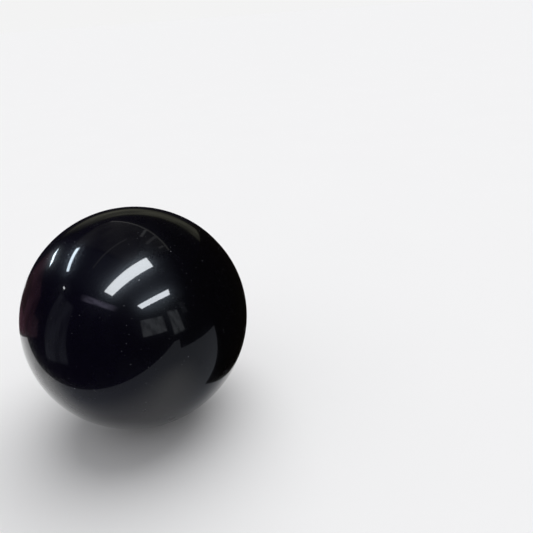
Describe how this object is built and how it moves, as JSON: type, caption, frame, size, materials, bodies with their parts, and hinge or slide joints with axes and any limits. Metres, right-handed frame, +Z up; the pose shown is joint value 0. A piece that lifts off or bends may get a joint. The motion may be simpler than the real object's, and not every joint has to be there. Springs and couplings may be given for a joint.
{
  "type": "uv black light bulb",
  "caption": "Globe-shaped ultraviolet black light bulb of dark violet-black glass on a short neck, with a threaded metal screw cap, insulator and centre contact.",
  "frame": {"origin": "on the surface that the lamp lies on, under the middle of its box", "axes": "+Z up; the globe's crown points to -Y and up, the cap to +Y and down, +X is to the right of someone who faces the crown"},
  "size_m": [0.095, 0.1174, 0.095],
  "materials": {
    "black_glass": "gloss, very dark violet-black, opaque to the eye",
    "cap_metal": "bright rolled sheet",
    "insulator_glass": "gloss black",
    "contact_metal": "satin",
    "solder": "satin",
    "cement": "matt",
    "lead_wire": "drawn"
  },
  "bodies": {
    "root": {"glass_globe": "black_glass", "screw_shell": "cap_metal", "insulator": "insulator_glass", "centre_contact": "contact_metal", "centre_solder": "solder", "side_solder": "solder", "basing_cement": "cement", "side_lead": "lead_wire", "centre_lead": "lead_wire"}
  },
  "joints": []
}
